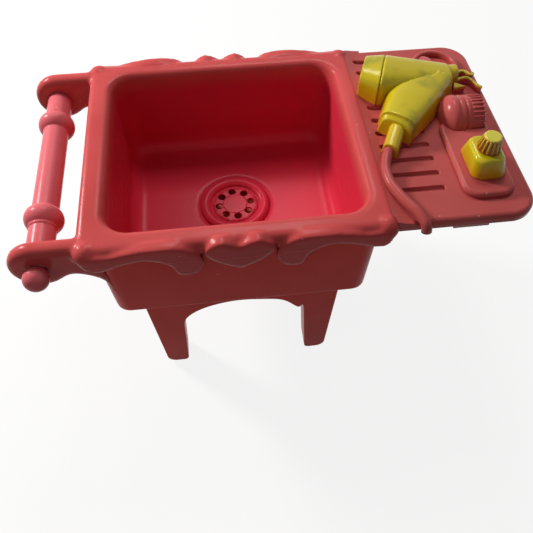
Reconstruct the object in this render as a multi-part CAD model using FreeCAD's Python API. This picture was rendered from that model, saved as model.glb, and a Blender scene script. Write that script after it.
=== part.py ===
"""Toy grooming wash tub: deep basin on an arched stand, side tray with moulded accessories, turning towel bar.

Working axes while shapes are made: x runs from the rim's left face towards the tray, y from the rim's front face
to the back, z up with 0 at the top of the rim. Each node is moved to the shared frame as it is saved.
"""
import FreeCAD, Part
import math
import os

V = FreeCAD.Vector

# Rim and basin
RIM_LENGTH = 110.0
RIM_WIDTH = 99.0
RIM_CORNER_R = 6.0
RIM_SKIRT = 8.5
RIM_PLATE = 3.2
RIM_EDGE_R = 2.6
RIM_FOOT_R = 0.8
LIP = 2.2
BAND_LEFT = 9.1
BAND_RIGHT = 7.8
BAND_FRONT = 8.8
BAND_BACK = 8.2
OPENING_R = 9.0
OPENING_EDGE_R = 2.8
FLOOR_DEPTH = 39.4
BOWL_DRAFT = 2.2
BOWL_WALL = 1.8
FLOOR_FILLET = 6.0

# Rise of the skirt between the corner and the middle, front and back
SKIRT_RISE = 4.0
SKIRT_RISE_START = 12.0
SKIRT_RISE_R = 3.0

# Drain
DRAIN_R = 15.2
DRAIN_GAP = 0.6
DRAIN_SEAT = 1.0
DRAIN_LEDGE = 2.6
RING_INNER_R = 10.6
RING_RISE = 1.1
RING_GROOVE = 0.5
RING_GROOVE_WIDTH = 0.9
HOLE_CIRCLE_R = 7.0
HOLE_R = 1.75
HOLE_COUNT = 8
HOLE_PHASE = 0.15

# Apron
APRON_SIDE_INSET = 3.7
APRON_DEPTH = 44.8
APRON_DRAFT = 0.9
APRON_CORNER_R = 6.0
APRON_WALL = 2.0
APRON_FOOT_R = 0.9

# Arms and towel bar
BAR_X = -14.5
BAR_Z = -10.2
ARM_R = 10.0
ARM_THICKNESS = 6.6
ARM_EDGE_R = 2.9
ARM_WEB_TOE = 5.0
ARM_WEB_LIFT = 7.5
ARM_WEB = ((6.9, -31.0), (6.1, -24.5), (4.2, -20.2), (1.4, -17.8), (-4.0, -15.8))
BAR_R = 4.85
JOURNAL_R = 3.0
JOURNAL_CLEARANCE = 0.05
END_CLEARANCE = 0.3
BEAD_R = 7.1
BEAD_ROUND_R = 4.7
BEAD_FROM_ARM = 16.0
NECK_RING_R = 5.3
NECK_RING_LENGTH = 1.2
KNOB_R = 4.5
KNOB_CENTRE_FROM_ARM = 3.1

# Stand
RIM_HEIGHT = 97.4
LEG_INSET = 2.6
LEG_THICKNESS = 10.0
LEG_OUTER_X = 15.6
LEG_OUTER_FOOT_X = 17.8
LEG_INNER_TOP_X = 29.2
LEG_INNER_FOOT_X = 27.2
ARCH_SPRING_Z = -64.0
ARCH_TOP_Z = -47.4
FOOT_OUTER_R = 4.4
FOOT_INNER_R = 2.2
LEG_EDGE_R = 0.5
ARCH_STEPS = 8

# Side tray
TRAY_END = 162.5
TRAY_FRONT = 1.6
TRAY_BACK = 99.0
TRAY_DROP = 1.7
TRAY_SKIRT = 4.2
TRAY_CORNER_R = 10.5
TRAY_TOP_R = 2.0
TRAY_FOOT_R = 0.7
TRAY_SKIN = 2.0
TRAY_WALL = 2.2
SLOPE_START = -2.0
SLOPE_START_Z = -0.12
SLOPE_LENGTH = 8.0
TAB_X = 131.0
TAB_LENGTH = 13.0
TAB_DROP = 0.8
SLOT_COUNT = 11
SLOT_FIRST_Y = 16.9
SLOT_PITCH = 7.39
SLOT_START_X = 111.8
SLOT_END_X = 131.3
SLOT_WIDTH = 2.2
SLOT_DEPTH = 1.3
SLOT_EDGE_R = 0.3

# Accessories on the tray
PAD_X0 = 136.7
PAD_X1 = 156.0
PAD_Y0 = 9.9
PAD_Y1 = 50.0
PAD_RISE = 2.2
PAD_R = 6.0
PAD_EDGE_R = 1.4
BOTTLE_X0 = 140.6
BOTTLE_X1 = 154.2
BOTTLE_Y0 = 16.6
BOTTLE_Y1 = 34.6
BOTTLE_RISE = 7.6
BOTTLE_R = 4.0
BOTTLE_INSET_LEFT = 0.4
BOTTLE_INSET_RIGHT = 2.4
BOTTLE_INSET_FRONT = 1.5
BOTTLE_INSET_BACK = 2.6
SHOULDER_R = 1.8
CAP_X = 146.9
CAP_Y = 25.0
CAP_R = 4.2
CAP_TIP_R = 3.1
CAP_RISE = 5.8
CAP_TOP_R = 0.6
JAR_Y = 51.9
JAR_START_X = 138.4
JAR_BODY_LENGTH = 6.6
JAR_BODY_R = 9.2
JAR_STEPS = 6
JAR_BELLY_START = 0.95
JAR_BELLY_SPAN = 1.25
JAR_COLLAR_LENGTH = 4.0
JAR_COLLAR_R = 9.0
JAR_CAP_LENGTH = 5.8
JAR_CAP_R = 8.6
DISH_X = 145.8
DISH_Y = 83.6
DISH_R = 9.9
DISH_WALL = 2.0
DISH_RISE = 2.3
SOAP_R = 4.2
SOAP_RISE = 1.7
SOAP_X = 141.8
SOAP_Y = 86.6

# Dryer lying on the tray: cross-sections are a flat base and a rounded top
BARREL_END_X = 147.6
PLUG_END_X = 152.0
# Nozzle and barrel start: front foot, back foot, rise, how far the top leans along the handle
NOZZLE_START = ((108.7, 68.4), (115.7, 85.6), 10.2, 0.0)
NOZZLE_END = ((115.2, 62.3), (123.3, 84.7), 11.4, 0.0)
NECK_START = ((115.4, 62.8), (123.1, 84.2), 10.9, 0.0)
NECK_END = ((116.1, 62.5), (123.8, 83.9), 10.9, 0.0)
BARREL_START = ((115.7, 62.1), (123.8, 84.5), 11.4, 0.0)
# Sections across y: front foot, back foot, rise
BARREL_END = (66.0, 79.6, 7.7)
PLUG_START = (70.0, 79.0, 7.0)
PLUG_END = (71.5, 78.8, 6.6)
# Each point of the arch as shares of its half width and its rise
ARCH_SHAPE = ((0.93, 0.42), (0.76, 0.84), (0.34, 0.985))
# Handle sections: right foot, left foot, rise, and how far the top leans back along the handle
HANDLE_SECTIONS = (
    ((148.7, 67.0), (133.0, 79.0), 8.5, 0.0),
    ((136.6, 51.8), (118.6, 63.0), 9.3, 0.0),
    ((126.0, 41.4), (113.4, 51.0), 9.2, 0.0),
)
GRIP_END_SECTIONS = (
    ((125.7, 41.6), (113.9, 50.7), 8.2, 0.0),
    ((123.2, 38.5), (112.3, 47.3), 7.4, 2.0),
)
SPOUT_SECTIONS = (
    ((122.4, 42.6), (116.8, 46.9), 6.9, 0.0),
    ((116.8, 32.1), (111.5, 36.0), 5.4, 0.6),
)
HANDLE_AXIS = (0.643, 0.766)

# Cord from the spout, over the tray and its front edge
CORD_R = 1.9
CORD_ROUTE = (
    (113.7, 34.3, 1.5),
    (111.0, 27.6, 0.35),
    (110.7, 19.6, 0.35),
    (113.6, 11.6, 0.4),
    (117.6, 4.6, 0.4),
    (119.4, 0.0, -0.6),
    (119.7, -0.9, -3.4),
)

# Ribbon behind the dryer
RIBBON_WIDTH = 1.2
RIBBON_RISE = 2.8
RIBBON_BACK = ((152.6, 74.0), (154.0, 76.3), (156.0, 76.9), (157.6, 74.9), (158.9, 74.0), (160.4, 75.6))
RIBBON_FRONT = ((151.4, 71.2), (153.8, 72.3), (156.2, 72.5), (157.6, 70.4), (158.6, 68.0), (160.2, 66.0))
LOOP_CORNERS = ((149.8, 70.4), (148.9, 66.6), (154.0, 67.2))
LOOP_RISE = 3.0

# Rim ornament, measured from the rim's middle and its top
RELIEF = 1.8
RELIEF_BACKSET = 2.2
RELIEF_EDGE_R = 0.7
HEART_HALF_WIDTH = 12.1
HEART_TOP = 1.2
HEART_NOTCH = -1.6
HEART_TIP = -14.2
HEART_FRONT = 2.2
# The heart on the back sits lower on the rim
REAR_HEART_DROP = 0.9
SCROLL_OUTLINE = (
    (43.0, -1.5), (37.0, -0.2), (31.0, 0.5), (24.0, 0.5), (18.5, -0.6), (15.0, -3.2), (12.9, -6.6),
    (12.9, -11.0), (15.2, -14.6), (19.0, -15.8), (22.4, -14.4), (23.6, -10.6), (26.0, -7.9), (31.5, -5.4),
    (37.0, -5.7), (42.6, -7.4), (47.6, -9.2), (51.6, -8.6), (53.4, -5.6), (51.6, -2.4), (47.4, -1.4),
)

BOSS_R = 4.6
BOSS_HALF_HEIGHT = 4.4
BOSS_X = 3.5
BOSS_Y = 2.8
BOSS_Z = -3.7

TRAY_TOP = -TRAY_DROP
PAD_TOP = TRAY_TOP + PAD_RISE
ARM_FACE = LIP
OVERALL_X0 = BAR_X - ARM_R
OVERALL_X1 = TRAY_END
SHIFT = V(-(OVERALL_X0 + OVERALL_X1) / 2.0, -RIM_WIDTH / 2.0, RIM_HEIGHT)
EPS = 0.01


def rounded_wire(x0, y0, x1, y1, r, z):
    """Closed outline of a rectangle with round corners at height z."""
    k = r * (1.0 - math.sqrt(0.5))
    edges = [
        Part.LineSegment(V(x0 + r, y0, z), V(x1 - r, y0, z)),
        Part.Arc(V(x1 - r, y0, z), V(x1 - k, y0 + k, z), V(x1, y0 + r, z)),
        Part.LineSegment(V(x1, y0 + r, z), V(x1, y1 - r, z)),
        Part.Arc(V(x1, y1 - r, z), V(x1 - k, y1 - k, z), V(x1 - r, y1, z)),
        Part.LineSegment(V(x1 - r, y1, z), V(x0 + r, y1, z)),
        Part.Arc(V(x0 + r, y1, z), V(x0 + k, y1 - k, z), V(x0, y1 - r, z)),
        Part.LineSegment(V(x0, y1 - r, z), V(x0, y0 + r, z)),
        Part.Arc(V(x0, y0 + r, z), V(x0 + k, y0 + k, z), V(x0 + r, y0, z)),
    ]
    return Part.Wire([e.toShape() for e in edges])


def rounded_prism(x0, y0, x1, y1, r, z0, z1):
    """Upright block with round vertical edges."""
    return Part.Face(rounded_wire(x0, y0, x1, y1, r, z0)).extrude(V(0, 0, z1 - z0))


def tapered_prism(box, r, z_top, z_bottom, draft, r_bottom):
    """Block whose outline shrinks by draft on each side from z_top down to z_bottom."""
    x0, y0, x1, y1 = box
    top = rounded_wire(x0, y0, x1, y1, r, z_top)
    bottom = rounded_wire(x0 + draft, y0 + draft, x1 - draft, y1 - draft, r_bottom, z_bottom)
    return Part.makeLoft([bottom, top], True, True)


def edges_at_z(shape, z):
    """Edges that lie wholly at height z."""
    found = []
    for e in shape.Edges:
        b = e.BoundBox
        if abs(b.ZMin - z) < EPS and abs(b.ZMax - z) < EPS:
            found.append(e)
    return found


def fillet_z(shape, z, r):
    """Round every edge at height z."""
    return shape.makeFillet(r, edges_at_z(shape, z))


def mirror_y(shape):
    """The same shape on the other side of the rim's middle plane."""
    return shape.mirror(V(0, RIM_WIDTH / 2.0, 0), V(0, 1, 0))


def largest(shape):
    """The biggest solid in a shape."""
    return max(shape.Solids, key=lambda s: s.Volume)


def save(name, shape):
    """Move a node to the shared frame and write its STEP file."""
    solid = largest(shape) if len(shape.Solids) > 0 else shape
    placed = solid.copy()
    placed.translate(SHIFT)
    placed.exportStep("parts/" + name + ".step")
    b = placed.BoundBox
    print("%-20s solids %d valid %s vol %8.1f x %.1f..%.1f y %.1f..%.1f z %.1f..%.1f" % (
        name, len(shape.Solids), placed.isValid(), placed.Volume, b.XMin, b.XMax, b.YMin, b.YMax, b.ZMin, b.ZMax))


def opening_box():
    """Rim opening as x0, y0, x1, y1."""
    return BAND_LEFT, BAND_FRONT, RIM_LENGTH - BAND_RIGHT, RIM_WIDTH - BAND_BACK


def drain_centre():
    """Centre of the drain in plan."""
    x0, y0, x1, y1 = opening_box()
    return (x0 + x1) / 2.0, (y0 + y1) / 2.0


def skirt_rise_cutter():
    """Trims the front skirt between the corners so that the ornament hangs below it."""
    z0 = -RIM_SKIRT - 1.0
    z1 = -RIM_SKIRT + SKIRT_RISE
    x0 = SKIRT_RISE_START
    x1 = RIM_LENGTH - SKIRT_RISE_START
    block = Part.makeBox(x1 - x0, LIP + 1.0, z1 - z0, V(x0, -1.0, z0))
    upright = []
    for e in block.Edges:
        b = e.BoundBox
        if b.YLength > LIP and b.ZLength < EPS and abs(b.ZMin - z1) < EPS:
            upright.append(e)
    return block.makeFillet(SKIRT_RISE_R, upright)


def make_basin():
    """Rim band with skirt, and the bowl below it."""
    slab = rounded_prism(0, 0, RIM_LENGTH, RIM_WIDTH, RIM_CORNER_R, -RIM_SKIRT, 0)
    slab = fillet_z(slab, 0, RIM_EDGE_R)
    slab = fillet_z(slab, -RIM_SKIRT, RIM_FOOT_R)
    pocket = rounded_prism(LIP, LIP, RIM_LENGTH - LIP, RIM_WIDTH - LIP, RIM_CORNER_R - LIP,
                           -RIM_SKIRT - 1.0, -RIM_PLATE)
    cutter = skirt_rise_cutter()
    rim = slab.cut(pocket).cut(cutter).cut(mirror_y(cutter))
    x0, y0, x1, y1 = opening_box()
    inner = tapered_prism((x0, y0, x1, y1), OPENING_R, 0, -FLOOR_DEPTH, BOWL_DRAFT, OPENING_R)
    inner = fillet_z(inner, -FLOOR_DEPTH, FLOOR_FILLET)
    w = BOWL_WALL
    outer = tapered_prism((x0 - w, y0 - w, x1 + w, y1 + w), OPENING_R + w, 0, -FLOOR_DEPTH - w,
                          BOWL_DRAFT, OPENING_R + w)
    outer = fillet_z(outer, -FLOOR_DEPTH - w, FLOOR_FILLET + w)
    body = rim.fuse(outer).removeSplitter().cut(inner)
    rim_edges = []
    for e in edges_at_z(body, 0):
        b = e.BoundBox
        if b.XMin > x0 - EPS and b.XMax < x1 + EPS and b.YMin > y0 - EPS and b.YMax < y1 + EPS:
            rim_edges.append(e)
    body = body.makeFillet(OPENING_EDGE_R, rim_edges)
    cx, cy = drain_centre()
    seat = Part.makeCylinder(DRAIN_R + DRAIN_GAP, DRAIN_SEAT + 5.0, V(cx, cy, -FLOOR_DEPTH - DRAIN_SEAT))
    hole = Part.makeCylinder(DRAIN_R - DRAIN_LEDGE, 10.0, V(cx, cy, -FLOOR_DEPTH - 5.0))
    return body.cut(seat).cut(hole)


def make_strainer():
    """Disc in the floor with a raised ring, a groove inside it and eight holes."""
    cx, cy = drain_centre()
    z0 = -FLOOR_DEPTH - DRAIN_SEAT
    z1 = -FLOOR_DEPTH + RING_RISE
    z2 = -FLOOR_DEPTH - 0.1
    crown = (RING_INNER_R + DRAIN_R) / 2.0
    groove = RING_INNER_R - RING_GROOVE_WIDTH
    pts = [V(0, 0, z0), V(DRAIN_R, 0, z0), V(DRAIN_R, 0, z2)]
    tail = [V(RING_INNER_R, 0, z2), V(RING_INNER_R, 0, z2 - RING_GROOVE), V(groove, 0, z2 - RING_GROOVE),
            V(groove, 0, z2), V(0, 0, z2), V(0, 0, z0)]
    edges = [Part.LineSegment(a, b).toShape() for a, b in zip(pts, pts[1:])]
    edges.append(Part.Arc(pts[-1], V(crown, 0, z1), tail[0]).toShape())
    edges += [Part.LineSegment(a, b).toShape() for a, b in zip(tail, tail[1:])]
    disc = Part.Face(Part.Wire(edges)).revolve(V(0, 0, 0), V(0, 0, 1), 360)
    for i in range(HOLE_COUNT):
        a = 2.0 * math.pi * (i + HOLE_PHASE) / HOLE_COUNT
        disc = disc.cut(Part.makeCylinder(HOLE_R, 5.0, V(HOLE_CIRCLE_R * math.cos(a), HOLE_CIRCLE_R * math.sin(a),
                                                         z0 - 1.0)))
    disc.translate(V(cx, cy, 0))
    return disc


def apron_outer():
    """Outside of the apron as a solid block."""
    box = (APRON_SIDE_INSET, LIP, RIM_LENGTH - APRON_SIDE_INSET, RIM_WIDTH - LIP)
    return tapered_prism(box, APRON_CORNER_R, -RIM_PLATE, -APRON_DEPTH, APRON_DRAFT, APRON_CORNER_R)


def make_apron():
    """Closed shell under the rim, round the bowl."""
    w = APRON_WALL
    box = (APRON_SIDE_INSET + w, LIP + w, RIM_LENGTH - APRON_SIDE_INSET - w, RIM_WIDTH - LIP - w)
    inner = tapered_prism(box, APRON_CORNER_R - w, -RIM_PLATE, -APRON_DEPTH + w, APRON_DRAFT, APRON_CORNER_R - w)
    return fillet_z(apron_outer(), -APRON_DEPTH, APRON_FOOT_R).cut(inner)


def face_wedge():
    """What stands in front of the apron's leaning front face, carried on past its corners."""
    lean = APRON_DRAFT / (APRON_DEPTH - RIM_PLATE)
    high = 1.0
    low = -APRON_DEPTH - 1.0
    reach = 10.0
    pts = [V(OVERALL_X0 - reach, LIP + lean * (-RIM_PLATE - z), z) for z in (high, low)]
    pts += [V(OVERALL_X0 - reach, LIP - reach, z) for z in (low, high)]
    return Part.Face(Part.makePolygon(pts + [pts[0]])).extrude(V(RIM_LENGTH + 4.0 * reach, 0, 0))


def make_arm():
    """Front plate that carries the towel bar: round end, flat top, curved underside."""
    y = ARM_FACE
    top_z = BAR_Z + ARM_R
    a = math.radians(-60.0)
    join = V(BAR_X + ARM_R * math.cos(a), y, BAR_Z + ARM_R * math.sin(a))
    in_x = APRON_SIDE_INSET + APRON_CORNER_R + 2.0
    low_z = -APRON_DEPTH + ARM_WEB_LIFT
    crown = V(BAR_X, y, top_z)
    left = V(BAR_X - ARM_R, y, BAR_Z)
    under = Part.BSplineCurve()
    route = [V(APRON_SIDE_INSET + ARM_WEB_TOE, y, low_z)] + [V(x, y, z) for x, z in ARM_WEB] + [join]
    under.interpolate(Points=route, InitialTangent=V(-0.35, 0, 1.0), FinalTangent=V(-0.866, 0, -0.5))
    edges = [
        Part.LineSegment(crown, V(in_x, y, top_z)).toShape(),
        Part.LineSegment(V(in_x, y, top_z), V(in_x, y, low_z)).toShape(),
        Part.LineSegment(V(in_x, y, low_z), route[0]).toShape(),
        under.toShape(),
        Part.Arc(join, left, crown).toShape(),
    ]
    plate = Part.Face(Part.Wire(edges)).extrude(V(0, ARM_THICKNESS, 0))
    rim_edges = []
    for e in plate.Edges:
        b = e.BoundBox
        if b.YLength < EPS and b.XMax < APRON_SIDE_INSET + 1.0 and b.XMin < BAR_X + ARM_R:
            rim_edges.append(e)
        elif b.YLength < EPS and abs(b.ZMin - top_z) < EPS and abs(b.ZMax - top_z) < EPS:
            rim_edges.append(e)
    plate = plate.makeFillet(ARM_EDGE_R, rim_edges)
    bore = Part.makeCylinder(JOURNAL_R + JOURNAL_CLEARANCE, ARM_THICKNESS + 4.0, V(BAR_X, y - 2.0, BAR_Z), V(0, 1, 0))
    slab = rounded_prism(0, 0, RIM_LENGTH, RIM_WIDTH, RIM_CORNER_R, -RIM_SKIRT, 1.0)
    return plate.cut(bore).cut(slab).cut(apron_outer()).cut(face_wedge()).cut(boss_ball(True))


def make_bar():
    """Turned rod with a bead near each end and a journal through each arm."""
    start = ARM_FACE + ARM_THICKNESS + END_CLEARANCE
    tip = ARM_FACE - END_CLEARANCE
    bead = ARM_FACE + ARM_THICKNESS + BEAD_FROM_ARM
    core = BEAD_R - BEAD_ROUND_R
    half = math.sqrt(BEAD_ROUND_R ** 2 - (BAR_R - core) ** 2)
    ring = bead - math.sqrt(BEAD_ROUND_R ** 2 - (NECK_RING_R - core) ** 2)
    middle = RIM_WIDTH / 2.0
    pts = [V(0, tip, 0), V(JOURNAL_R, tip, 0), V(JOURNAL_R, start, 0), V(BAR_R, start, 0),
           V(BAR_R, ring - NECK_RING_LENGTH, 0), V(NECK_RING_R, ring - NECK_RING_LENGTH + 0.4, 0),
           V(NECK_RING_R, ring, 0)]
    edges = [Part.LineSegment(a, b).toShape() for a, b in zip(pts, pts[1:])]
    edges.append(Part.Arc(pts[-1], V(BEAD_R, bead, 0), V(BAR_R, bead + half, 0)).toShape())
    edges.append(Part.LineSegment(V(BAR_R, bead + half, 0), V(BAR_R, middle, 0)).toShape())
    edges.append(Part.LineSegment(V(BAR_R, middle, 0), V(0, middle, 0)).toShape())
    edges.append(Part.LineSegment(V(0, middle, 0), V(0, tip, 0)).toShape())
    half_bar = Part.Face(Part.Wire(edges)).revolve(V(0, 0, 0), V(0, 1, 0), 360)
    bar = half_bar.fuse(mirror_y(half_bar)).removeSplitter()
    bar.translate(V(BAR_X, 0, BAR_Z))
    return bar


def make_knob():
    """Ball end on the front journal."""
    plane = ARM_FACE - END_CLEARANCE
    ball = Part.makeSphere(KNOB_R, V(BAR_X, ARM_FACE - KNOB_CENTRE_FROM_ARM, BAR_Z))
    block = Part.makeBox(4 * KNOB_R, 4 * KNOB_R, 4 * KNOB_R, V(BAR_X - 2 * KNOB_R, plane, BAR_Z - 2 * KNOB_R))
    return ball.cut(block)


def make_leg_frame():
    """Front panel with an arch between two tapering legs, standing on the floor."""
    y = LIP + LEG_INSET
    top = -APRON_DEPTH
    foot = -RIM_HEIGHT
    mid = RIM_LENGTH / 2.0
    half = mid - LEG_INNER_TOP_X
    rise = ARCH_TOP_Z - ARCH_SPRING_Z

    def at(x, z, sign):
        """Point of the left leg, or of its mirror image on the right."""
        return V(mid + sign * (x - mid), y, z)

    spring = [at(LEG_INNER_TOP_X, ARCH_SPRING_Z, s) for s in (1, -1)]
    toe = [at(LEG_INNER_FOOT_X, foot, s) for s in (1, -1)]
    heel = [at(LEG_OUTER_FOOT_X, foot, s) for s in (1, -1)]
    hip = [at(LEG_OUTER_X, top, s) for s in (1, -1)]
    turns = [math.pi * i / ARCH_STEPS for i in range(ARCH_STEPS + 1)]
    arch = Part.BSplineCurve()
    arch.interpolate(Points=[V(mid - half * math.cos(t), y, ARCH_SPRING_Z + rise * math.sin(t)) for t in turns],
                     InitialTangent=spring[0] - toe[0], FinalTangent=toe[1] - spring[1])
    edges = [Part.LineSegment(a, b).toShape() for a, b in (
        (hip[0], heel[0]), (heel[0], toe[0]), (toe[0], spring[0]))]
    edges.append(arch.toShape())
    edges += [Part.LineSegment(a, b).toShape() for a, b in (
        (spring[1], toe[1]), (toe[1], heel[1]), (heel[1], hip[1]), (hip[1], hip[0]))]
    panel = Part.Face(Part.Wire(edges)).extrude(V(0, LEG_THICKNESS, 0))
    for corner, r in ((heel, FOOT_OUTER_R), (toe, FOOT_INNER_R)):
        for p in corner:
            near = [e for e in panel.Edges if e.BoundBox.YLength > LEG_THICKNESS / 2.0
                    and abs(e.BoundBox.XMin - p.x) < EPS and e.BoundBox.ZMax < foot + EPS]
            panel = panel.makeFillet(r, near)
    face_y = (y, y + LEG_THICKNESS)
    round_edges = []
    for e in panel.Edges:
        b = e.BoundBox
        if b.YLength < EPS and b.ZMin < top - EPS and min(abs(b.YMin - f) for f in face_y) < EPS:
            round_edges.append(e)
    return panel.makeFillet(LEG_EDGE_R, round_edges)


def tray_slope():
    """Soft slope from the rim's right edge down to the tray."""
    block = rounded_prism(RIM_LENGTH - RIM_EDGE_R - TRAY_CORNER_R, TRAY_FRONT, TRAY_END, TRAY_BACK, TRAY_CORNER_R,
                          TRAY_TOP - TRAY_SKIN / 2.0, 0)
    block = fillet_z(block, 0, TRAY_TOP_R)
    x0 = RIM_LENGTH + SLOPE_START
    x1 = x0 + SLOPE_LENGTH
    low = TRAY_TOP - TRAY_SKIN
    start = V(x0, -1.0, SLOPE_START_Z)
    end = V(x1, -1.0, TRAY_TOP)
    curve = Part.BSplineCurve()
    curve.interpolate(Points=[start, V((x0 + x1) / 2.0, -1.0, (SLOPE_START_Z + TRAY_TOP) / 2.0 - 0.25), end],
                      InitialTangent=V(1.0, 0, -0.25), FinalTangent=V(1.0, 0, -0.02))
    edges = [curve.toShape(), Part.LineSegment(end, V(x1, -1.0, low)).toShape(),
             Part.LineSegment(V(x1, -1.0, low), V(x0, -1.0, low)).toShape(),
             Part.LineSegment(V(x0, -1.0, low), start).toShape()]
    prism = Part.Face(Part.Wire(edges)).extrude(V(0, RIM_WIDTH + 2.0, 0))
    return block.common(prism)


def make_tray():
    """Slotted side tray with a rolled edge, wrapped on the rim's right face."""
    x0 = RIM_LENGTH - RIM_EDGE_R
    outline = rounded_prism(x0 - TRAY_CORNER_R, TRAY_FRONT, TRAY_END, TRAY_BACK, TRAY_CORNER_R,
                            TRAY_TOP - TRAY_SKIRT, TRAY_TOP)
    outline = fillet_z(outline, TRAY_TOP, TRAY_TOP_R)
    outline = fillet_z(outline, TRAY_TOP - TRAY_SKIRT, TRAY_FOOT_R)
    w = TRAY_WALL
    pocket = rounded_prism(RIM_LENGTH + w, TRAY_FRONT + w, TRAY_END - w, TRAY_BACK - w, TRAY_CORNER_R - w,
                           TRAY_TOP - TRAY_SKIRT - 1.0, TRAY_TOP - TRAY_SKIN)
    tab = Part.makeBox(TAB_LENGTH, w, TAB_DROP + TRAY_FOOT_R + 0.2,
                       V(TAB_X, TRAY_FRONT + 0.2, TRAY_TOP - TRAY_SKIRT - TAB_DROP))
    tray = outline.cut(pocket).fuse(tab).fuse(tray_slope()).removeSplitter()
    slab = rounded_prism(0, 0, RIM_LENGTH, RIM_WIDTH, RIM_CORNER_R, -RIM_SKIRT - 1.0, 0)
    slab = fillet_z(slab, 0, RIM_EDGE_R)
    keep = Part.makeBox(100, 200, 60, V(RIM_LENGTH / 2.0 + 40, -50, -30))
    boss = boss_ball(False)
    tray = tray.common(keep).cut(slab).cut(boss).cut(mirror_y(boss))
    for i in range(SLOT_COUNT):
        y = SLOT_FIRST_Y + i * SLOT_PITCH
        tray = tray.cut(rounded_prism(SLOT_START_X, y - SLOT_WIDTH / 2.0, SLOT_END_X, y + SLOT_WIDTH / 2.0,
                                      SLOT_WIDTH / 2.0 - EPS, TRAY_TOP - SLOT_DEPTH, TRAY_TOP + 1.0))
    mouths = [e for e in edges_at_z(tray, TRAY_TOP) if e.BoundBox.XMin > SLOT_START_X - EPS
              and e.BoundBox.XMax < SLOT_END_X + EPS and e.BoundBox.YMin > SLOT_FIRST_Y - SLOT_WIDTH
              and e.BoundBox.YMax < SLOT_FIRST_Y + SLOT_COUNT * SLOT_PITCH]
    return tray.makeFillet(SLOT_EDGE_R, mouths)


def heart_face(y):
    """Heart outline in the plane y."""
    mid = RIM_LENGTH / 2.0
    w = HEART_HALF_WIDTH
    side = [(0.0, HEART_NOTCH), (0.24, HEART_TOP - 1.0), (0.52, HEART_TOP), (0.82, HEART_TOP - 1.6),
            (1.0, HEART_TOP - 5.2), (0.86, -7.2), (0.48, -11.0), (0.0, HEART_TIP)]
    edges = []
    for sign in (1, -1):
        curve = Part.BSplineCurve()
        pts = [V(mid + sign * w * a, y, z) for a, z in side]
        curve.interpolate(pts)
        edges.append(curve.toShape())
    return Part.Face(Part.Wire(Part.__sortEdges__(edges)))


def rim_block():
    """The rim's outer shape, to fit ornament against."""
    slab = rounded_prism(0, 0, RIM_LENGTH, RIM_WIDTH, RIM_CORNER_R, -RIM_SKIRT, 0)
    return fillet_z(slab, 0, RIM_EDGE_R)


def make_heart(drop=0.0):
    """Puffy heart over the middle of the front rim, set lower by drop."""
    depth = HEART_FRONT + RELIEF_BACKSET
    solid = heart_face(-HEART_FRONT).extrude(V(0, depth, 0))
    front = [e for e in solid.Edges if abs(e.BoundBox.YMax + HEART_FRONT) < EPS]
    solid = solid.makeFillet(RELIEF_EDGE_R, front)
    solid.translate(V(0, 0, -drop))
    return solid.cut(rim_block()).cut(apron_outer())


def make_scroll(hand):
    """Scroll moulding along the front rim, hand 1 on the left and -1 on the right of the heart."""
    mid = RIM_LENGTH / 2.0
    pts = [V(mid - hand * a, -RELIEF, z) for a, z in SCROLL_OUTLINE]
    curve = Part.BSplineCurve()
    curve.interpolate(Points=pts, PeriodicFlag=True)
    solid = Part.Face(Part.Wire([curve.toShape()])).extrude(V(0, RELIEF + RELIEF_BACKSET, 0))
    front = [e for e in solid.Edges if abs(e.BoundBox.YMax + RELIEF) < EPS]
    solid = solid.makeFillet(RELIEF_EDGE_R, front)
    return solid.cut(rim_block()).cut(apron_outer()).cut(boss_ball(hand > 0))


def boss_ball(left):
    """Flattened ball of a front corner boss."""
    x = BOSS_X if left else RIM_LENGTH - BOSS_X
    ball = Part.makeSphere(BOSS_R)
    matrix = FreeCAD.Matrix()
    matrix.scale(V(1.0, 1.0, BOSS_HALF_HEIGHT / BOSS_R))
    boss = ball.transformGeometry(matrix)
    boss.translate(V(x, BOSS_Y, BOSS_Z))
    return boss


def make_boss(left):
    """Round boss on a front corner of the rim, where the scroll begins."""
    return boss_ball(left).cut(rim_block())


def make_pad():
    """Raised rounded pad that carries the bottle."""
    pad = rounded_prism(PAD_X0, PAD_Y0, PAD_X1, PAD_Y1, PAD_R, TRAY_TOP, PAD_TOP)
    return fillet_z(pad, PAD_TOP, PAD_EDGE_R)


def make_bottle():
    """Short bottle body with round shoulders."""
    top = rounded_wire(BOTTLE_X0 + BOTTLE_INSET_LEFT, BOTTLE_Y0 + BOTTLE_INSET_FRONT,
                       BOTTLE_X1 - BOTTLE_INSET_RIGHT, BOTTLE_Y1 - BOTTLE_INSET_BACK,
                       BOTTLE_R, PAD_TOP + BOTTLE_RISE)
    bottom = rounded_wire(BOTTLE_X0, BOTTLE_Y0, BOTTLE_X1, BOTTLE_Y1, BOTTLE_R, PAD_TOP)
    body = Part.makeLoft([bottom, top], True, True)
    return fillet_z(body, PAD_TOP + BOTTLE_RISE, SHOULDER_R)


def make_bottle_cap():
    """Round tapering cap on the bottle."""
    z = PAD_TOP + BOTTLE_RISE
    cap = Part.makeCone(CAP_R, CAP_TIP_R, CAP_RISE, V(CAP_X, CAP_Y, z))
    return fillet_z(cap, z + CAP_RISE, CAP_TOP_R)


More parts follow.
